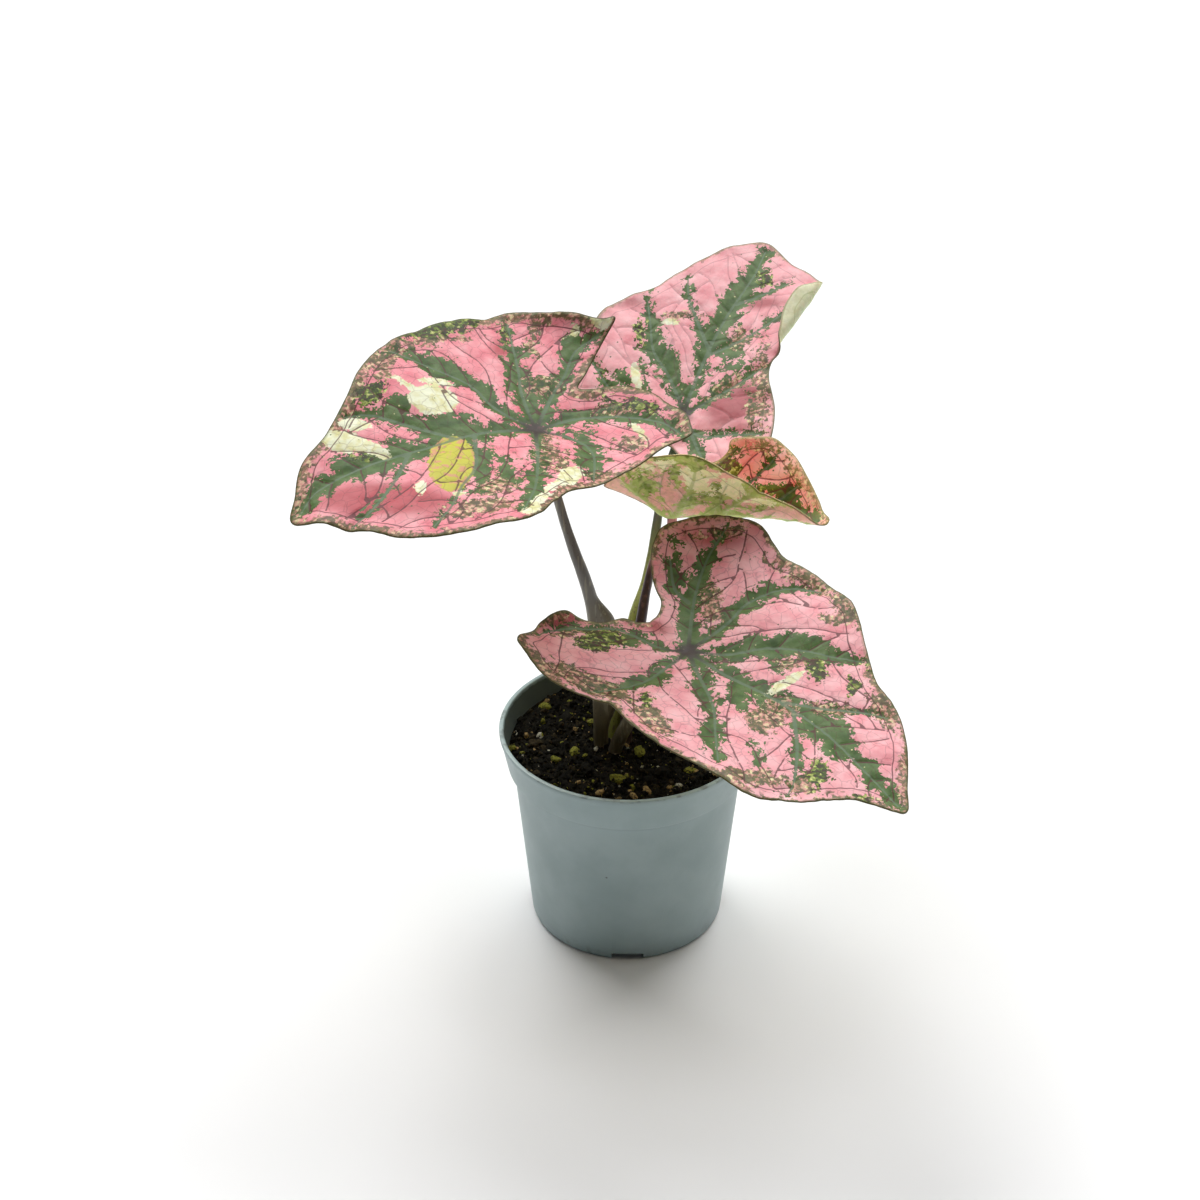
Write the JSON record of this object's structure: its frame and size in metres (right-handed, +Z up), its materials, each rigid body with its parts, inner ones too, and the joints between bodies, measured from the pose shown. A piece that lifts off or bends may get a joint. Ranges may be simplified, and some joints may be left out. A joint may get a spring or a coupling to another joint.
{
  "type": "potted caladium",
  "caption": "Young caladium with broad heart-shaped pink and green leaves on slim stalks, growing from a tuber in a small round plastic nursery pot filled with soil.",
  "frame": {"origin": "middle of the pot's base, on the surface that it stands on", "axes": "+Z up; -Y towards the viewer, +X to the viewer's right; the plant spreads furthest along Y"},
  "size_m": [0.1279, 0.1797, 0.1424],
  "materials": {
    "pot_plastic": "moulded grey-blue plastic, satin outside",
    "potting_soil": "dark crumbly peat with pale and tan specks",
    "tuber_skin": "rough brown skin",
    "stalk_purple": "smooth and slightly waxy, dark purple-brown",
    "stalk_green": "smooth and slightly waxy, grey-green",
    "stalk_pink": "smooth and slightly waxy, pink",
    "leaf_pink_green": "thin satin blade, pink between dark green veins, with a speckled green edge"
  },
  "bodies": {
    "root": {"pot": "pot_plastic", "soil": "potting_soil", "tuber": "tuber_skin", "petiole_left": "stalk_purple", "petiole_back": "stalk_green", "petiole_right": "stalk_pink", "petiole_front": "stalk_purple", "blade_left": "leaf_pink_green", "blade_back": "leaf_pink_green", "blade_right": "leaf_pink_green", "blade_front": "leaf_pink_green"}
  },
  "joints": []
}
